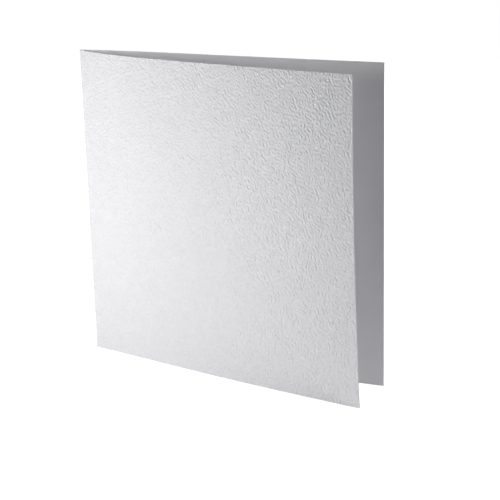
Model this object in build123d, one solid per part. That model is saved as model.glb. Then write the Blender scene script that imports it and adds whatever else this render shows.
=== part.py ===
from build123d import *
import os
from collections import namedtuple
from math import cos, radians, sin

# A blank greeting card: one sheet of heavy textured board, scored and folded once, standing
# half open on the edges of its two leaves. Sizes are in millimetres and angles in degrees.
# The fold runs up +Z from the origin, which is the foot of the fold. The leaves reach towards
# +X, the front leaf on the -Y side and the back leaf on the +Y side.

# The sheet
leaf_width = 148.0              # from the outside of the fold to the free edge, pressed flat
card_height = 148.0             # along the fold
board = 0.5                     # thickness of the board

# The scored fold
fold_inner_radius = 0.2         # inside the bend, and the board adds its thickness outside
bead_depth = 1.0                # the score's pressed-in bead fills the bend as far as this
bead_rise = 0.35                # how far the bead's crown stands past that

# Lead angle: between a leaf and the X axis, where the leaf springs from the fold.
# The front leaf springs out further towards the head.
front_foot_lead_angle = 5.0
front_middle_lead_angle = 13.5
front_head_lead_angle = 20.5
back_lead_angle = 12.5

# Turn angle: how far a leaf bends outwards along a stretch, and below zero it bends back inwards.
# Most of the bow lies in the near stretch, next to the fold. The far stretch is the rest.
near_stretch = 40.0
front_foot_near_turn_angle = 0.5
front_head_near_turn_angle = -15.5
front_far_turn_angle = -4.0
back_near_turn_angle = -8.0
back_far_turn_angle = 2.0

# Worked out from the values above
fold_outer_radius = fold_inner_radius + board
leaf_run = leaf_width - fold_outer_radius
front_middle_near_turn_angle = (front_foot_near_turn_angle + front_head_near_turn_angle) / 2
levels = (0.0, card_height / 2, card_height)

# A leaf's side is -1 for -Y and +1 for +Y, and its lead and turns have one angle for each level.
Leaf = namedtuple("Leaf", "side lead near_turn far_turn")
front_leaf = Leaf(
    side=-1,
    lead=(front_foot_lead_angle, front_middle_lead_angle, front_head_lead_angle),
    near_turn=(front_foot_near_turn_angle, front_middle_near_turn_angle, front_head_near_turn_angle),
    far_turn=(front_far_turn_angle,) * len(levels),
)
back_leaf = Leaf(
    side=1,
    lead=(back_lead_angle,) * len(levels),
    near_turn=(back_near_turn_angle,) * len(levels),
    far_turn=(back_far_turn_angle,) * len(levels),
)


def direction(leaf, heading):
    """Unit vector along a leaf, in plan, for its angle from the X axis."""
    return Vector(cos(radians(heading)), leaf.side * sin(radians(heading)))


def outward(leaf, heading):
    """Unit vector out of a leaf's outer face, in plan."""
    return Vector(-sin(radians(heading)), leaf.side * cos(radians(heading)))


def run_arc(leaf, start, heading, turn, length):
    """Follow an arc of a given length and turn, and give its end point and heading."""
    half_turn = radians(turn) / 2
    chord = length * sin(half_turn) / half_turn if half_turn else length
    return start + direction(leaf, heading + turn / 2) * chord, heading + turn


def station(leaf, level, run, depth):
    """Point and heading on a leaf at a run from the fold and a depth below its outer face."""
    heading = leaf.lead[level]
    point = outward(leaf, heading) * fold_outer_radius + Vector(0, 0, levels[level])
    near_run = min(run, near_stretch)
    near_turn = leaf.near_turn[level] * near_run / near_stretch
    point, heading = run_arc(leaf, point, heading, near_turn, near_run)
    if run > near_stretch:
        point, heading = run_arc(leaf, point, heading, leaf.far_turn[level], run - near_stretch)
    return point - outward(leaf, heading) * depth, heading


def face_curve(leaf, level, start_run, end_run, depth):
    """Smooth curve along one stretch of a leaf's face, an arc to within a micrometre."""
    start, start_heading = station(leaf, level, start_run, depth)
    end, end_heading = station(leaf, level, end_run, depth)
    quarter_turn = radians(end_heading - start_heading) / 4
    handle = (end - start).length / 3 / cos(quarter_turn) ** 2
    start_pull = start + direction(leaf, start_heading) * handle
    end_pull = end - direction(leaf, end_heading) * handle
    return Bezier(start, start_pull, end_pull, end)


def leaf_outline(leaf, level):
    """A leaf's two outer curves, its cut edge and its two inner curves, as far as the bead."""
    return [
        face_curve(leaf, level, 0, near_stretch, 0),
        face_curve(leaf, level, near_stretch, leaf_run, 0),
        Line(station(leaf, level, leaf_run, 0)[0], station(leaf, level, leaf_run, board)[0]),
        face_curve(leaf, level, near_stretch, leaf_run, board),
        face_curve(leaf, level, bead_depth, near_stretch, board),
    ]


def fold_round(level):
    """Outside of the fold: an arc tangent to both outer faces."""
    spine = Vector(-fold_outer_radius, 0, levels[level])
    return ThreePointArc(station(front_leaf, level, 0, 0)[0], spine, station(back_leaf, level, 0, 0)[0])


def score_bead(level):
    """Inside of the fold: the crowned bead that the score leaves between the leaves."""
    front_foot = station(front_leaf, level, bead_depth, board)[0]
    back_foot = station(back_leaf, level, bead_depth, board)[0]
    crown = (front_foot + back_foot) * 0.5 + Vector(bead_rise, 0, 0)
    return ThreePointArc(front_foot, crown, back_foot)


def section(level):
    """Outline of the folded board at one level, seen from above."""
    edges = leaf_outline(front_leaf, level) + leaf_outline(back_leaf, level)
    return Wire(edges + [fold_round(level), score_bead(level)])


def folded_card():
    """The sheet as it stands, lofted from the foot through the middle to the head."""
    card = Solid.make_loft([section(level) for level in range(len(levels))])
    card.label = "folded_card"
    return card


os.makedirs("parts", exist_ok=True)
export_step(folded_card(), "parts/folded_card.step")
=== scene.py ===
from collections import namedtuple
from math import pi, radians

import bpy
import numpy as np
from bpy.props import FloatProperty, FloatVectorProperty, IntProperty, PointerProperty
from mathutils import Matrix, Vector


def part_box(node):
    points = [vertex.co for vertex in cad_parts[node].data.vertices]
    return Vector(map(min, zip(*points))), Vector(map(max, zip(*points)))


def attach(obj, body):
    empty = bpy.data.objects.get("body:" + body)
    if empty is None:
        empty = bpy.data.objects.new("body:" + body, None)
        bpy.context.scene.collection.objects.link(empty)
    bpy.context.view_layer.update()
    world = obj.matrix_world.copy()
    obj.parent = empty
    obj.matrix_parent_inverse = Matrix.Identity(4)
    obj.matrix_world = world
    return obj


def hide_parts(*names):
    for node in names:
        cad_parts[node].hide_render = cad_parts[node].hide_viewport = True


bl_info = {
    "name": "Hammered Greeting Card",
    "version": (1, 0, 0),
    "blender": (4, 5, 0),
    "location": "View3D > Sidebar > Card",
    "description": "A blank square card of hammered board, scored, folded once and stood half open",
    "category": "Add Mesh",
}

# All lengths are in metres and all angles in radians.
# The flat sheet lies with its outside up: X runs along the sheet from the fold, which is at 0,
# Y runs along the fold, and Z is 0 on the outside and goes down through the board.
# The front leaf is at positive X, and the back leaf is at negative X.

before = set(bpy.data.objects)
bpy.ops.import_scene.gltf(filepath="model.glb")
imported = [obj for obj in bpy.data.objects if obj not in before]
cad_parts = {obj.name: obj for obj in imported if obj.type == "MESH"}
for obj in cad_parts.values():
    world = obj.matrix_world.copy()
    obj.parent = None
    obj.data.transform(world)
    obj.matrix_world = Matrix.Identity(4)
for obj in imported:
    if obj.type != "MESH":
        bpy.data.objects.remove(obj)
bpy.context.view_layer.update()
CARD_FOOT, CARD_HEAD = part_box("folded_card")

MM = 0.001
FLAT_MAP = "flat_sheet"         # the piece's UV map: places on the flat sheet, in metres
LEVEL_COUNT = 3                 # the fold's angles are set at the foot, the middle and the head

# Grid of the sheet where it needs less than the hammered leaves do
FOLD_COLUMNS = 20
BEAD_COLUMNS = 12
INSIDE_COLUMNS = 40
INSIDE_ROWS = 40

# Mesh work
MERGE_REACH = 0.001 * MM        # points that are nearer than this become one
NEAR_SIDE = 0.01 * MM           # points that are nearer than this to a side lie on it
FACE_UPRIGHT = 0.9              # on the faces of the flat sheet a normal's Z is more than this
RELIEF_STEPS = 20               # how finely the relief's share goes from 0 to 1
SMOOTH_ANGLE = radians(40)      # edges that are sharper than this stay crisp

# Strokes of a relief or a grain: their lean from upright, their pitch across, their length and
# their depth, and how many finer layers of the same kind lie on them
Strokes = namedtuple("Strokes", "lean pitch length depth layers")
HAMMERED_FIBRE = Strokes(lean=radians(20), pitch=0.15 * MM, length=0.3 * MM, depth=0.007 * MM, layers=1)
SMOOTH_FIBRE = Strokes(lean=radians(8), pitch=0.25 * MM, length=0.8 * MM, depth=0.01 * MM, layers=2)
CUT_LAYERS = Strokes(lean=0, pitch=1.5 * MM, length=0.07 * MM, depth=0.035 * MM, layers=2)
CLOUDS = Strokes(lean=0, pitch=12 * MM, length=9 * MM, depth=0, layers=3)     # for colour alone

# Noise keeps between these values
NOISE_LOW, NOISE_HIGH = 0.15, 0.85

# Stage
FLOOR_SIZE = 12.0
FLOOR_WHITE = 0.92              # what the floor gives back to the card
SHOWN_FLOOR_WHITE = 0.45        # what the camera sees of the light on the floor, on top of the glow
NEAR_GLOW, FAR_GLOW = 0.86, 1.0  # the white that the camera sees there without any light
GLOW_REACH = 0.45               # how far from the card the glow reaches its full strength
GLOW_MIDDLE = (0.07, 0, 0)      # on the floor, under the middle of the card

# Square soft lamps: where they stand, where they point and the length of a side
Lamp = namedtuple("Lamp", "name place aim size")
LAMPS = (
    Lamp("low_lamp", (-0.091, -0.271, 0.055), (0.091, -0.033, 0.055), 0.1),
    Lamp("left_lamp", (-0.061, -0.260, 0.194), (-0.136, -0.087, -0.039), 0.1),
    Lamp("front_lamp", (0.043, -0.318, 0.167), (-0.042, -0.126, -0.048), 0.1),
    Lamp("side_lamp", (0.366, 0.059, 0.282), (0.229, 0.287, 0.144), 0.12),
    Lamp("back_lamp", (-0.1, 0.7, 0.35), (0.07, 0, 0.05), 0.4),
)

# Camera
AIM = (0.0657, 0, 0.0739)       # in the middle of the card
FRAME_SHIFT = (0.0855, -0.0632)  # to the right and up, as shares of the frame's width
SENSOR_WIDTH = 36               # in millimetres, as Blender gives it


# Sizes and colours that a user would change


class CardSheetSettings(bpy.types.PropertyGroup):
    """The sheet of board, its cut edges and its scored fold."""

    leaf_width: FloatProperty(
        name="Leaf Width", description="From the outside of the fold to the free edge, pressed flat",
        default=148 * MM, min=50 * MM, unit="LENGTH",
    )
    card_height: FloatProperty(
        name="Card Height", description="Length of the fold",
        default=CARD_HEAD.z - CARD_FOOT.z, min=50 * MM, unit="LENGTH",
    )
    board: FloatProperty(
        name="Board", description="Thickness of the board",
        default=0.5 * MM, min=0.2 * MM, unit="LENGTH",
    )
    edge_ease: FloatProperty(
        name="Edge Ease", description="Width of the soft corner that the guillotine leaves on a cut edge",
        default=0.05 * MM, min=0.01 * MM, unit="LENGTH",
    )
    fold_inner_radius: FloatProperty(
        name="Fold Inner Radius", description="Radius inside the bend, and the board adds its thickness",
        default=0.2 * MM, min=0.05 * MM, unit="LENGTH",
    )
    bead_depth: FloatProperty(
        name="Bead Depth", description="How far along the leaves the score's bead fills the bend",
        default=1.0 * MM, min=0.1 * MM, unit="LENGTH",
    )
    bead_rise: FloatProperty(
        name="Bead Rise", description="How far the crown of the bead stands past that",
        default=0.35 * MM, min=0.05 * MM, unit="LENGTH",
    )


class CardStandSettings(bpy.types.PropertyGroup):
    """How far the leaves spring open, and how they bow. Each vector has the foot, middle and head."""

    front_lead: FloatVectorProperty(
        name="Front Lead", description="Angle at which the front leaf springs from the fold",
        default=(radians(5), radians(13.5), radians(20.5)), size=LEVEL_COUNT, unit="ROTATION",
    )
    front_near_turn: FloatVectorProperty(
        name="Front Near Turn", description="Turn of the front leaf along its near stretch",
        default=(radians(0.5), radians(-7.5), radians(-15.5)), size=LEVEL_COUNT, unit="ROTATION",
    )
    front_far_turn: FloatProperty(
        name="Front Far Turn", description="Turn of the front leaf along the rest of it",
        default=radians(-4), unit="ROTATION",
    )
    back_lead: FloatProperty(
        name="Back Lead", description="Angle at which the back leaf springs from the fold",
        default=radians(12.5), unit="ROTATION",
    )
    back_near_turn: FloatProperty(
        name="Back Near Turn", description="Turn of the back leaf along its near stretch",
        default=radians(-8), unit="ROTATION",
    )
    back_far_turn: FloatProperty(
        name="Back Far Turn", description="Turn of the back leaf along the rest of it",
        default=radians(2), unit="ROTATION",
    )
    near_stretch: FloatProperty(
        name="Near Stretch", description="Stretch next to the fold that takes most of the bow",
        default=40 * MM, min=5 * MM, unit="LENGTH",
    )


class CardHammerSettings(bpy.types.PropertyGroup):
    """The hammered relief: a wide shallow part in the mesh, and the short strokes as bump."""

    leaf_columns: IntProperty(
        name="Leaf Columns", description="Columns of faces across the outside of one leaf",
        default=210, min=10,
    )
    rows: IntProperty(
        name="Rows", description="Rows of faces up the outside of the card",
        default=208, min=10,
    )
    lean: FloatProperty(
        name="Lean", description="How far the strokes lean from upright",
        default=radians(20), unit="ROTATION",
    )
    wide_pitch: FloatProperty(
        name="Wide Pitch", description="Distance across between the wide presses in the mesh",
        default=2 * MM, min=0.2 * MM, unit="LENGTH",
    )
    wide_length: FloatProperty(
        name="Wide Length", description="Usual length of the wide presses",
        default=3.2 * MM, min=0.2 * MM, unit="LENGTH",
    )
    wide_depth: FloatProperty(
        name="Wide Depth", description="Depth of the wide presses",
        default=0.02 * MM, min=0.0, unit="LENGTH",
    )
    stroke_pitch: FloatProperty(
        name="Stroke Pitch", description="Distance from a stroke to the next, across them",
        default=0.85 * MM, min=0.1 * MM, unit="LENGTH",
    )
    stroke_length: FloatProperty(
        name="Stroke Length", description="Usual length of a stroke",
        default=1.2 * MM, min=0.1 * MM, unit="LENGTH",
    )
    stroke_depth: FloatProperty(
        name="Stroke Depth", description="Depth of the strokes' bump, deeper than real as pixels soften it",
        default=0.48 * MM, min=0.0, unit="LENGTH",
    )
    edge_margin: FloatProperty(
        name="Edge Margin", description="Border at the cut edges and the fold where the relief gets less",
        default=0.8 * MM, min=0.01 * MM, unit="LENGTH",
    )
    edge_share: FloatProperty(
        name="Edge Share", description="Share of the relief's depth that is left at those borders",
        default=0.35, min=0, max=1, subtype="FACTOR",
    )


class CardBoardSettings(bpy.types.PropertyGroup):
    """Colours of the board."""

    face_colour: FloatVectorProperty(
        name="Face Colour", description="White of the board's faces",
        default=(0.91, 0.906, 0.93), size=3, subtype="COLOR", min=0, max=1,
    )
    cut_colour: FloatVectorProperty(
        name="Cut Colour", description="Bare fibre on the cut edges",
        default=(0.86, 0.86, 0.84), size=3, subtype="COLOR", min=0, max=1,
    )
    tone_spread: FloatProperty(
        name="Mottle", description="How much the white of the inside varies from place to place",
        default=0.02, min=0, max=0.2, subtype="FACTOR",
    )
    # Painted shade: the outside's white is darker in the valleys between the strokes, by this share.
    painted_valley_shade: FloatProperty(
        name="Stroke Shade", description="How much the white of the outside varies with the strokes",
        default=0.03, min=0, max=0.2, subtype="FACTOR",
    )
    cut_mottle: FloatProperty(
        name="Cut Mottle", description="How much the layers in the cut edges vary",
        default=0.08, min=0, max=0.2, subtype="FACTOR",
    )
    face_roughness: FloatProperty(
        name="Face Roughness", description="Roughness of the board's faces",
        default=0.85, min=0, max=1, subtype="FACTOR",
    )
    roughness_spread: FloatProperty(
        name="Roughness Spread", description="How far the roughness goes up and down with the grain",
        default=0.08, min=0, max=0.1, subtype="FACTOR",
    )
    cut_roughness: FloatProperty(
        name="Cut Roughness", description="Roughness of the bare fibre",
        default=0.93, min=0, max=1, subtype="FACTOR",
    )
    sheen: FloatProperty(
        name="Sheen", description="How much the board's surface reflects, where 0.5 is usual for plastics",
        default=0.3, min=0, max=1, subtype="FACTOR",
    )


class CardStageSettings(bpy.types.PropertyGroup):
    """Floor, lights and camera."""

    lens: FloatProperty(
        name="Lens", description="Focal length of the camera, in millimetres",
        default=100, min=10,
    )
    camera_turn: FloatProperty(
        name="Camera Turn", description="How far round to the free edges the camera stands",
        default=radians(31.354), unit="ROTATION",
    )
    camera_dip: FloatProperty(
        name="Camera Dip", description="How far the camera looks down",
        default=radians(16.025), unit="ROTATION",
    )
    camera_roll: FloatProperty(
        name="Camera Roll", description="How far the camera is tipped to one side",
        default=radians(-1.956), unit="ROTATION",
    )
    camera_distance: FloatProperty(
        name="Camera Distance", description="From the camera to the middle of the card",
        default=0.6359, min=0.1, unit="LENGTH",
    )
    low_power: FloatProperty(
        name="Low Power", description="Power of the main lamp, low on the left, in watts",
        default=0.34, min=0,
    )
    left_power: FloatProperty(
        name="Left Power", description="Power of the higher lamp on the left, in watts",
        default=0.295, min=0,
    )
    front_power: FloatProperty(
        name="Front Power", description="Power of the lamp in front, in watts",
        default=0.132, min=0,
    )
    side_power: FloatProperty(
        name="Side Power", description="Power of the lamp on the open side, in watts",
        default=1.27, min=0,
    )
    back_power: FloatProperty(
        name="Back Power", description="Power of the lamp behind the card, in watts",
        default=4.0, min=0,
    )
    room_light: FloatProperty(
        name="Room Light", description="Strength of the light from all round",
        default=0.02, min=0,
    )


SETTINGS = {
    "card_sheet": CardSheetSettings,
    "card_stand": CardStandSettings,
    "card_hammer": CardHammerSettings,
    "card_board": CardBoardSettings,
    "card_stage": CardStageSettings,
}


# Folding: from places on the flat sheet to places on the standing card


def follow_arc(x, y, heading, turn, length):
    """Follow arcs of a given length and turn in plan, and give their end points and headings."""
    half_turn = turn / 2
    chord = length * np.sinc(half_turn / pi)
    along = heading + half_turn
    return x + chord * np.cos(along), y + chord * np.sin(along), heading + turn


def leaf_plan(sheet, stand, side, lead, near_turn, far_turn, run, depth):
    """Plan of points on a leaf, at runs from the fold and depths below its outer face."""
    outer_radius = sheet.fold_inner_radius + sheet.board
    leaf_run = sheet.leaf_width - outer_radius
    x, y = -np.sin(lead) * outer_radius, np.cos(lead) * outer_radius
    near_run = np.clip(run, 0, stand.near_stretch)
    far_run = np.maximum(run - stand.near_stretch, 0)
    near_share = near_run / stand.near_stretch
    far_share = far_run / (leaf_run - stand.near_stretch)
    x, y, heading = follow_arc(x, y, lead, near_turn * near_share, near_run)
    x, y, heading = follow_arc(x, y, heading, far_turn * far_share, far_run)
    return np.stack([x + np.sin(heading) * depth, side * (y - np.cos(heading) * depth)], -1)


def fold_half_width(sheet, stand):
    """Half the width of sheet that goes round the outside of the fold, at the middle level."""
    middle = LEVEL_COUNT // 2
    opening = stand.front_lead[middle] + stand.back_lead
    return (sheet.fold_inner_radius + sheet.board) * (pi - opening) / 2


def half_sheet_width(sheet, stand):
    """Half the width of the flat sheet: half of the fold's round, and one leaf."""
    return fold_half_width(sheet, stand) + sheet.leaf_width - sheet.fold_inner_radius - sheet.board


def bead_plan(front_foot, back_foot, rise, share):
    """Plan of points on the bead inside the fold, at shares from -1 at the back to 1 at the front."""
    half_chord = np.linalg.norm(front_foot - back_foot) / 2
    radius = (half_chord**2 + rise**2) / (2 * rise)
    half_angle = np.arcsin(min(half_chord / radius, 1.0))
    across = (front_foot - back_foot) / (2 * half_chord)
    middle = (front_foot + back_foot) / 2
    out = radius * np.cos(share * half_angle) - (radius - rise)
    sideways = radius * np.sin(share * half_angle)
    return middle + across * sideways[:, None] + np.array([1.0, 0.0]) * out[:, None]


def level_plan(sheet, stand, level, along, depth):
    """Plan of the sheet's points if the whole card had the section that it has at one level."""
    outer_radius = sheet.fold_inner_radius + sheet.board
    half_fold = fold_half_width(sheet, stand)
    front = (-1, stand.front_lead[level], stand.front_near_turn[level], stand.front_far_turn)
    back = (1, stand.back_lead, stand.back_near_turn, stand.back_far_turn)
    outer = np.zeros((len(along), 2))
    inner = np.zeros((len(along), 2))
    feet = []
    for leaf, there in ((front, along >= 0), (back, along < 0)):
        side, lead = leaf[:2]
        run = np.abs(along[there]) - half_fold
        on_leaf = leaf_plan(sheet, stand, *leaf, run, 0)
        round_angle = np.abs(along[there]) / half_fold * (pi / 2 - lead)
        on_round = np.stack([-np.cos(round_angle), side * np.sin(round_angle)], -1) * outer_radius
        outer[there] = np.where((run > 0)[:, None], on_leaf, on_round)
        inner[there] = leaf_plan(sheet, stand, *leaf, run, sheet.board)
        feet.append(leaf_plan(sheet, stand, *leaf, np.array([sheet.bead_depth]), sheet.board)[0])
    share = along / (half_fold + sheet.bead_depth)
    on_bead = bead_plan(*feet, sheet.bead_rise, np.clip(share, -1, 1))
    inner = np.where((np.abs(share) < 1)[:, None], on_bead, inner)
    return outer + (inner - outer) * (depth / sheet.board)[:, None]


def stood_up(flat, sheet, stand):
    """Places on the standing card of places on the flat sheet."""
    along, height, depth = flat[:, 0], flat[:, 1], -flat[:, 2]
    foot, middle, head = (level_plan(sheet, stand, level, along, depth) for level in range(LEVEL_COUNT))
    share = (height / sheet.card_height)[:, None]
    plan = foot * (1 - share) * (1 - 2 * share) + middle * 4 * share * (1 - share)
    plan += head * share * (2 * share - 1)
    return np.column_stack([plan, height + CARD_FOOT.z])


# Mesh tools


def deselect_all():
    """Leave nothing selected."""
    bpy.ops.object.select_all(action="DESELECT")


def select_only(*objects):
    """Select these objects alone, with the first as the active one."""
    deselect_all()
    for ob in objects:
        ob.select_set(True)
    bpy.context.view_layer.objects.active = objects[0]


def joined(*objects):
    """Join objects into the first, and merge the points that they share."""
    select_only(*objects)
    bpy.ops.object.join()
    merged = bpy.context.active_object
    bpy.ops.object.mode_set(mode="EDIT")
    bpy.ops.mesh.select_all(action="SELECT")
    bpy.ops.mesh.remove_doubles(threshold=MERGE_REACH)
    bpy.ops.object.mode_set(mode="OBJECT")
    return merged


def places_of(ob):
    """A mesh object's points as an array."""
    places = np.empty(len(ob.data.vertices) * 3)
    ob.data.vertices.foreach_get("co", places)
    return places.reshape(-1, 3)


def add_strip(name, start, end, columns, rows, sheet, finish):
    """One stretch of a face of the flat sheet, without the eased border, as an even grid."""
    deselect_all()
    height = sheet.card_height
    bpy.ops.mesh.primitive_grid_add(
        x_subdivisions=columns, y_subdivisions=rows, size=1,
        location=((start + end) / 2, height / 2, 0),
    )
    strip = bpy.context.active_object
    strip.name = name
    strip.scale = (end - start, height - 2 * sheet.edge_ease, 1)
    bpy.ops.object.transform_apply(location=True, rotation=True, scale=True)
    strip.data.materials.append(finish)
    return strip


def ease_border(ob, half_width, sheet):
    """Extrude a face's border out and down to the full size of the sheet, as the eased corner."""
    ease = sheet.edge_ease
    half_height = sheet.card_height / 2
    select_only(ob)
    bpy.ops.object.mode_set(mode="EDIT")
    bpy.ops.mesh.select_mode(type="EDGE")
    bpy.ops.mesh.select_all(action="DESELECT")
    bpy.ops.mesh.select_non_manifold()
    bpy.ops.mesh.extrude_edges_move(TRANSFORM_OT_translate={"value": (0, 0, -ease)})
    bpy.ops.transform.resize(
        value=(half_width / (half_width - ease), half_height / (half_height - ease), 1),
        center_override=(0, half_height, -ease),
    )
    bpy.ops.object.mode_set(mode="OBJECT")


def turn_over(face, sheet):
    """Mirror a face to the underside of the board."""
    select_only(face)
    bpy.ops.transform.mirror(constraint_axis=(False, False, True))
    bpy.ops.transform.translate(value=(0, 0, -sheet.board))
    bpy.ops.object.transform_apply(location=True, rotation=True, scale=True)


def bridge_sides(ob, half_width, sheet):
    """Close the cut edges: bridge the two borders, one side of the sheet at a time."""
    sides = ((0, -half_width), (0, half_width), (1, 0), (1, sheet.card_height))
    for axis, place in sides:
        select_only(ob)
        bpy.ops.object.mode_set(mode="EDIT")
        bpy.ops.mesh.select_all(action="DESELECT")
        bpy.ops.object.mode_set(mode="OBJECT")
        points = ob.data.vertices
        for edge in ob.data.edges:
            start, end = (points[i].co for i in edge.vertices)
            lies_there = max(abs(start[axis] - place), abs(end[axis] - place)) < NEAR_SIDE
            runs_along = abs(start.z - end.z) < NEAR_SIDE
            edge.select = lies_there and runs_along
        bpy.ops.object.mode_set(mode="EDIT")
        bpy.ops.mesh.bridge_edge_loops()
        bpy.ops.object.mode_set(mode="OBJECT")


def add_flat_sheet(sheet, stand, hammer, finishes):
    """The flat blank: a finely divided outside, a coarser inside and closed cut edges."""
    outside, inside, cut = finishes
    half_fold = fold_half_width(sheet, stand)
    half_width = half_sheet_width(sheet, stand)
    leaf_end = half_width - sheet.edge_ease
    bead_half = half_fold + sheet.bead_depth
    faces = []
    layouts = (
        ("outside", half_fold, hammer.leaf_columns, FOLD_COLUMNS, hammer.rows, outside),
        ("inside", bead_half, INSIDE_COLUMNS, BEAD_COLUMNS, INSIDE_ROWS, inside),
    )
    for name, bend, columns, bend_columns, rows, finish in layouts:
        strips = [
            add_strip("back_" + name, -leaf_end, -bend, columns, rows, sheet, finish),
            add_strip("fold_" + name, -bend, bend, bend_columns, rows, sheet, finish),
            add_strip("front_" + name, bend, leaf_end, columns, rows, sheet, finish),
        ]
        face = joined(*strips)
        ease_border(face, half_width, sheet)
        faces.append(face)
    turn_over(faces[1], sheet)
    blank = joined(*faces)
    blank.data.materials.append(cut)
    bridge_sides(blank, half_width, sheet)
    select_only(blank)
    bpy.ops.object.mode_set(mode="EDIT")
    bpy.ops.mesh.select_all(action="SELECT")
    bpy.ops.mesh.normals_make_consistent(inside=False)
    bpy.ops.object.mode_set(mode="OBJECT")
    return blank


def normal_shares(mesh):
    """How far each face's normal points along X, Y and Z, without its sign."""
    normals = np.empty(len(mesh.polygons) * 3)
    mesh.polygons.foreach_get("normal", normals)
    return np.abs(normals.reshape(-1, 3))


def give_cut_finish(blank, slot_index):
    """Put the cut edges and their eased corners in the cut finish."""
    faces = blank.data.polygons
    finish = np.empty(len(faces), dtype=np.int32)
    faces.foreach_get("material_index", finish)
    finish[normal_shares(blank.data)[:, 2] < FACE_UPRIGHT] = slot_index
    faces.foreach_set("material_index", finish)


def lay_flat_map(blank):
    """UV map of places on the flat sheet, in metres. A cut edge runs along U, with its depth on V."""
    mesh = blank.data
    uv_map = mesh.uv_layers.new(name=FLAT_MAP)
    places = places_of(blank)
    corner_points = np.empty(len(mesh.loops), dtype=np.int32)
    mesh.loops.foreach_get("vertex_index", corner_points)
    corner_counts = np.empty(len(mesh.polygons), dtype=np.int32)
    mesh.polygons.foreach_get("loop_total", corner_counts)
    corner_normals = np.repeat(normal_shares(mesh), corner_counts, axis=0)
    on_face = corner_normals[:, 2] >= FACE_UPRIGHT
    on_end = corner_normals[:, 0] > corner_normals[:, 1]
    x, y, z = places[corner_points].T
    u = np.where(on_face | ~on_end, x, y)
    v = np.where(on_face, y, z)
    uv_map.uv.foreach_set("vector", np.column_stack([u, v]).astype(np.float32).ravel())


def smooth_share(distance, width):
    """0 at a distance of 0, easing up to 1 at a width."""
    share = np.clip(distance / width, 0, 1)
    return share * share * (3 - 2 * share)


def relief_share(blank, sheet, stand, hammer):
    """How deep the relief goes at each point: not on the inside, and less at the borders."""
    along, height, depth = places_of(blank).T
    from_end = half_sheet_width(sheet, stand) - np.abs(along)
    from_side = np.minimum(height, sheet.card_height - height)
    from_fold = np.abs(along) - fold_half_width(sheet, stand)
    share = smooth_share(np.minimum(from_end, from_side), hammer.edge_margin)
    share *= smooth_share(from_fold, hammer.edge_margin)
    share = hammer.edge_share + (1 - hammer.edge_share) * share
    return np.where(depth > -sheet.board / 2, share, 0)


def press_texture(name, layers):
    """Noise of pitch 1 that uses its whole range from 0 to 1."""
    texture = bpy.data.textures.new(name, "CLOUDS")
    texture.noise_basis = "IMPROVED_PERLIN"
    texture.noise_scale = 1.0
    texture.noise_depth = layers
    texture.contrast = 1 / (NOISE_HIGH - NOISE_LOW)
    texture.use_clamp = True
    return texture


def add_relief(blank, name, strokes, shares):
    """Press a relief into the outside of the flat sheet, with a texture laid out by a leaning empty."""
    group = blank.vertex_groups.new(name=name)
    for step in range(1, RELIEF_STEPS + 1):
        chosen = np.nonzero(np.round(shares * RELIEF_STEPS) == step)[0]
        if len(chosen):
            group.add(chosen.tolist(), step / RELIEF_STEPS, "REPLACE")
    deselect_all()
    bpy.ops.object.empty_add(rotation=(0, 0, strokes.lean))
    layout = bpy.context.active_object
    layout.scale = (strokes.pitch, strokes.length, strokes.pitch)
    bpy.context.view_layer.update()
    press = blank.modifiers.new(name, "DISPLACE")
    press.texture = press_texture(name, strokes.layers)
    press.texture_coords = "OBJECT"
    press.texture_coords_object = layout
    press.direction = "Z"
    press.mid_level = 1.0
    press.strength = strokes.depth
    press.vertex_group = group.name
    select_only(blank)
    bpy.ops.object.modifier_apply(modifier=press.name)
    blank.vertex_groups.clear()
    bpy.data.objects.remove(layout)


def fold_sheet(blank, sheet, stand):
    """Fold the flat sheet by its angles, which no operator does, and stand it up."""
    places = stood_up(places_of(blank), sheet, stand)
    blank.data.vertices.foreach_set("co", places.ravel())
    blank.data.update()


# Finishes


def new_finish(name):
    """An empty node material with its output and its shader."""
    finish = bpy.data.materials.new(name)
    finish.use_nodes = True
    tree = finish.node_tree
    tree.nodes.clear()
    output = tree.nodes.new("ShaderNodeOutputMaterial")
    shader = tree.nodes.new("ShaderNodeBsdfPrincipled")
    tree.links.new(shader.outputs["BSDF"], output.inputs["Surface"])
    return finish, tree, shader


def flat_places(tree):
    """Places on the flat sheet, in metres."""
    node = tree.nodes.new("ShaderNodeUVMap")
    node.uv_map = FLAT_MAP
    return node.outputs["UV"]


def ranged(tree, value, low, high, from_low=0.0, from_high=1.0):
    """A value brought from one range to another."""
    node = tree.nodes.new("ShaderNodeMapRange")
    node.inputs["From Min"].default_value = from_low
    node.inputs["From Max"].default_value = from_high
    node.inputs["To Min"].default_value = low
    node.inputs["To Max"].default_value = high
    tree.links.new(value, node.inputs["Value"])
    return node.outputs["Result"]


def stroke_height(tree, places, strokes):
    """Height of leaning strokes, from 0 to 1: noise that is turned and stretched along the strokes."""
    layout = tree.nodes.new("ShaderNodeMapping")
    layout.vector_type = "TEXTURE"
    layout.inputs["Rotation"].default_value = (0, 0, strokes.lean)
    layout.inputs["Scale"].default_value = (strokes.pitch, strokes.length, strokes.pitch)
    tree.links.new(places, layout.inputs["Vector"])
    noise = tree.nodes.new("ShaderNodeTexNoise")
    noise.inputs["Scale"].default_value = 1.0
    noise.inputs["Detail"].default_value = strokes.layers
    tree.links.new(layout.outputs["Vector"], noise.inputs["Vector"])
    return ranged(tree, noise.outputs["Fac"], 0, 1, NOISE_LOW, NOISE_HIGH)


def bumped(tree, height, depth, under=None):
    """A bump of a depth in metres, on top of another one if there is one."""
    node = tree.nodes.new("ShaderNodeBump")
    node.inputs["Strength"].default_value = 1.0
    node.inputs["Distance"].default_value = depth
    tree.links.new(height, node.inputs["Height"])
    if under:
        tree.links.new(under, node.inputs["Normal"])
    return node.outputs["Normal"]


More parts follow.
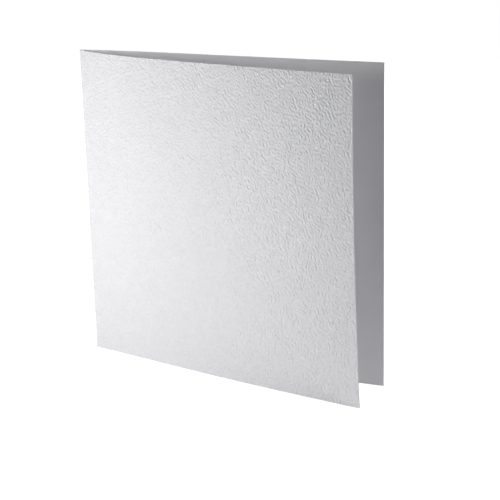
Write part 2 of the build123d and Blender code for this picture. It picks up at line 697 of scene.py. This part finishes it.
def darker_where_low(tree, value, colour, tone_spread):
    """A colour that goes a little darker where a value is low."""
    node = tree.nodes.new("ShaderNodeMix")
    node.data_type = "RGBA"
    node.inputs["A"].default_value = (*(c * (1 - tone_spread) for c in colour), 1)
    node.inputs["B"].default_value = (*(min(c * (1 + tone_spread), 1) for c in colour), 1)
    tree.links.new(value, node.inputs["Factor"])
    return node.outputs["Result"]


def give_face_colour(tree, shader, board, shade, tone_spread, grain):
    """White that varies a little with a value, and a roughness that varies with the grain. The value is
    cloud mottle on the inside and the strokes' height on the outside, where it paints shade into the valleys
    between the strokes.
    """
    tree.links.new(darker_where_low(tree, shade, board.face_colour, tone_spread), shader.inputs["Base Color"])
    spread = board.roughness_spread
    rough = ranged(tree, grain, board.face_roughness - spread, board.face_roughness + spread)
    tree.links.new(rough, shader.inputs["Roughness"])
    shader.inputs["Specular IOR Level"].default_value = board.sheen


def hammered_finish(board, hammer):
    """The outside: white board with short leaning strokes and a fibre grain, and painted shade that darkens
    the white in the strokes' valleys.
    """
    finish, tree, shader = new_finish("hammered_face")
    places = flat_places(tree)
    hammered = Strokes(
        hammer.lean, hammer.stroke_pitch, hammer.stroke_length, hammer.stroke_depth, layers=0,
    )
    pressed = stroke_height(tree, places, hammered)
    fibre = stroke_height(tree, places, HAMMERED_FIBRE)
    under = bumped(tree, pressed, hammered.depth)
    tree.links.new(bumped(tree, fibre, HAMMERED_FIBRE.depth, under), shader.inputs["Normal"])
    # Painted shade: the white is darker where the strokes are low, in their valleys.
    give_face_colour(tree, shader, board, pressed, board.painted_valley_shade, fibre)
    return finish


def smooth_finish(board):
    """The inside: smooth white board with a faint fibre grain."""
    finish, tree, shader = new_finish("smooth_face")
    places = flat_places(tree)
    fibre = stroke_height(tree, places, SMOOTH_FIBRE)
    tree.links.new(bumped(tree, fibre, SMOOTH_FIBRE.depth), shader.inputs["Normal"])
    give_face_colour(tree, shader, board, stroke_height(tree, places, CLOUDS), board.tone_spread, fibre)
    return finish


def cut_finish(board):
    """The cut edges: bare fibre in thin layers, slightly greyer than the faces."""
    finish, tree, shader = new_finish("cut_edge")
    layers = stroke_height(tree, flat_places(tree), CUT_LAYERS)
    tree.links.new(bumped(tree, layers, CUT_LAYERS.depth), shader.inputs["Normal"])
    tree.links.new(darker_where_low(tree, layers, board.cut_colour, board.cut_mottle), shader.inputs["Base Color"])
    shader.inputs["Roughness"].default_value = board.cut_roughness
    shader.inputs["Specular IOR Level"].default_value = board.sheen
    return finish


class CardAddSheet(bpy.types.Operator):
    """Make the hammered sheet flat, then fold it once and stand it half open"""

    bl_idname = "card.add_sheet"
    bl_label = "Add Folded Sheet"

    def execute(self, context):
        scene = context.scene
        sheet, stand, hammer, board = scene.card_sheet, scene.card_stand, scene.card_hammer, scene.card_board
        finishes = (hammered_finish(board, hammer), smooth_finish(board), cut_finish(board))
        blank = add_flat_sheet(sheet, stand, hammer, finishes)
        blank.name = blank.data.name = "hammered_sheet"
        give_cut_finish(blank, len(finishes) - 1)
        lay_flat_map(blank)
        wide = Strokes(hammer.lean, hammer.wide_pitch, hammer.wide_length, hammer.wide_depth, layers=0)
        add_relief(blank, "wide_presses", wide, relief_share(blank, sheet, stand, hammer))
        fold_sheet(blank, sheet, stand)
        select_only(blank)
        bpy.ops.object.shade_smooth_by_angle(angle=SMOOTH_ANGLE)
        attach(blank, "root")
        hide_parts("folded_card")
        return {"FINISHED"}


# Stage


def seen_and_lit(tree, seen, lit, output):
    """Give one shader to the camera and to mirror and glass rays, and the other to the light."""
    path = tree.nodes.new("ShaderNodeLightPath")
    share = path.outputs["Is Camera Ray"]
    for ray in ("Is Glossy Ray", "Is Transmission Ray"):
        either = tree.nodes.new("ShaderNodeMath")
        either.operation = "MAXIMUM"
        tree.links.new(share, either.inputs[0])
        tree.links.new(path.outputs[ray], either.inputs[1])
        share = either.outputs["Value"]
    mix = tree.nodes.new("ShaderNodeMixShader")
    tree.links.new(share, mix.inputs["Fac"])
    tree.links.new(lit, mix.inputs[1])
    tree.links.new(seen, mix.inputs[2])
    tree.links.new(mix.outputs["Shader"], output.inputs["Surface"])


def grey(value):
    """A colour with the same red, green and blue."""
    return (value, value, value, 1)


def floor_glow(tree):
    """What makes the shown floor white: a little less round the card, where its shadow is kept."""
    places = tree.nodes.new("ShaderNodeTexCoord")
    layout = tree.nodes.new("ShaderNodeMapping")
    layout.vector_type = "TEXTURE"
    layout.inputs["Location"].default_value = GLOW_MIDDLE
    layout.inputs["Scale"].default_value = (GLOW_REACH, GLOW_REACH, GLOW_REACH)
    nearness = tree.nodes.new("ShaderNodeTexGradient")
    nearness.gradient_type = "SPHERICAL"
    glow = tree.nodes.new("ShaderNodeEmission")
    tree.links.new(places.outputs["Object"], layout.inputs["Vector"])
    tree.links.new(layout.outputs["Vector"], nearness.inputs["Vector"])
    tree.links.new(ranged(tree, nearness.outputs["Fac"], FAR_GLOW, NEAR_GLOW), glow.inputs["Strength"])
    return glow.outputs["Emission"]


def add_floor():
    """A wide pale floor that shows white, keeps the card's shadow and gives light back."""
    deselect_all()
    bpy.ops.mesh.primitive_plane_add(size=FLOOR_SIZE, location=(0, 0, CARD_FOOT.z))
    floor = bpy.context.active_object
    floor.name = "floor"
    bpy.ops.object.transform_apply(location=True, rotation=True, scale=True)
    finish = bpy.data.materials.new("pale_floor")
    finish.use_nodes = True
    tree = finish.node_tree
    tree.nodes.clear()
    output = tree.nodes.new("ShaderNodeOutputMaterial")
    lit = tree.nodes.new("ShaderNodeBsdfDiffuse")
    lit.inputs["Color"].default_value = grey(FLOOR_WHITE)
    shown_lit = tree.nodes.new("ShaderNodeBsdfDiffuse")
    shown_lit.inputs["Color"].default_value = grey(SHOWN_FLOOR_WHITE)
    shown = tree.nodes.new("ShaderNodeAddShader")
    tree.links.new(shown_lit.outputs["BSDF"], shown.inputs[0])
    tree.links.new(floor_glow(tree), shown.inputs[1])
    seen_and_lit(tree, shown.outputs["Shader"], lit.outputs["BSDF"], output)
    floor.data.materials.append(finish)


def add_lamp(name, place, aim, size, power):
    """A square soft lamp, which the camera itself doesn't see."""
    deselect_all()
    bpy.ops.object.light_add(type="AREA", location=place)
    lamp = bpy.context.active_object
    lamp.name = name
    lamp.rotation_euler = (Vector(aim) - Vector(place)).to_track_quat("-Z", "Y").to_euler()
    lamp.data.shape = "SQUARE"
    lamp.data.size = size
    lamp.data.energy = power
    lamp.visible_camera = False


def set_room(stage):
    """Light from all round, and white for the camera."""
    world = bpy.data.worlds.new("room")
    bpy.context.scene.world = world
    world.use_nodes = True
    tree = world.node_tree
    tree.nodes.clear()
    output = tree.nodes.new("ShaderNodeOutputWorld")
    light = tree.nodes.new("ShaderNodeBackground")
    light.inputs["Color"].default_value = grey(1)
    light.inputs["Strength"].default_value = stage.room_light
    white = tree.nodes.new("ShaderNodeBackground")
    white.inputs["Color"].default_value = grey(1)
    white.inputs["Strength"].default_value = 1.0
    seen_and_lit(tree, white.outputs["Background"], light.outputs["Background"], output)


def add_camera(stage):
    """The camera, aimed at the middle of the card, with the frame shifted as the photo's is."""
    turn, dip = stage.camera_turn, stage.camera_dip
    look = Vector((-np.sin(turn) * np.cos(dip), np.cos(turn) * np.cos(dip), -np.sin(dip)))
    right = Vector((np.cos(turn), np.sin(turn), 0))
    up = right.cross(look)
    level = Matrix((right, up, -look)).transposed()
    tipped = level @ Matrix.Rotation(stage.camera_roll, 3, "Z")
    place = Vector(AIM) - look * stage.camera_distance
    deselect_all()
    bpy.ops.object.camera_add(location=place, rotation=tipped.to_euler())
    camera = bpy.context.active_object
    camera.data.lens = stage.lens
    camera.data.sensor_width = SENSOR_WIDTH
    camera.data.shift_x, camera.data.shift_y = FRAME_SHIFT
    bpy.context.scene.camera = camera


class CardAddStage(bpy.types.Operator):
    """Add the pale floor, the soft lamps, the light of the room and the camera"""

    bl_idname = "card.add_stage"
    bl_label = "Add Stage"

    def execute(self, context):
        stage = context.scene.card_stage
        context.scene.view_settings.view_transform = "Standard"
        add_floor()
        powers = (stage.low_power, stage.left_power, stage.front_power, stage.side_power, stage.back_power)
        for lamp, power in zip(LAMPS, powers):
            add_lamp(*lamp, power)
        set_room(stage)
        add_camera(stage)
        return {"FINISHED"}


class CardPanel(bpy.types.Panel):
    """Lists the card's sheet and its stage."""

    bl_idname = "CARD_PT_parts"
    bl_label = "Greeting Card"
    bl_space_type = "VIEW_3D"
    bl_region_type = "UI"
    bl_category = "Card"

    def draw(self, context):
        column = self.layout.column()
        for operator in (CardAddSheet, CardAddStage):
            column.operator(operator.bl_idname)


CLASSES = (*SETTINGS.values(), CardAddSheet, CardAddStage, CardPanel)


def register():
    for cls in CLASSES:
        bpy.utils.register_class(cls)
    for name, cls in SETTINGS.items():
        setattr(bpy.types.Scene, name, PointerProperty(type=cls))


def unregister():
    for name in SETTINGS:
        delattr(bpy.types.Scene, name)
    for cls in reversed(CLASSES):
        bpy.utils.unregister_class(cls)


def main():
    register()
    bpy.ops.card.add_sheet()
    bpy.ops.card.add_stage()


if __name__ == "__main__":
    main()
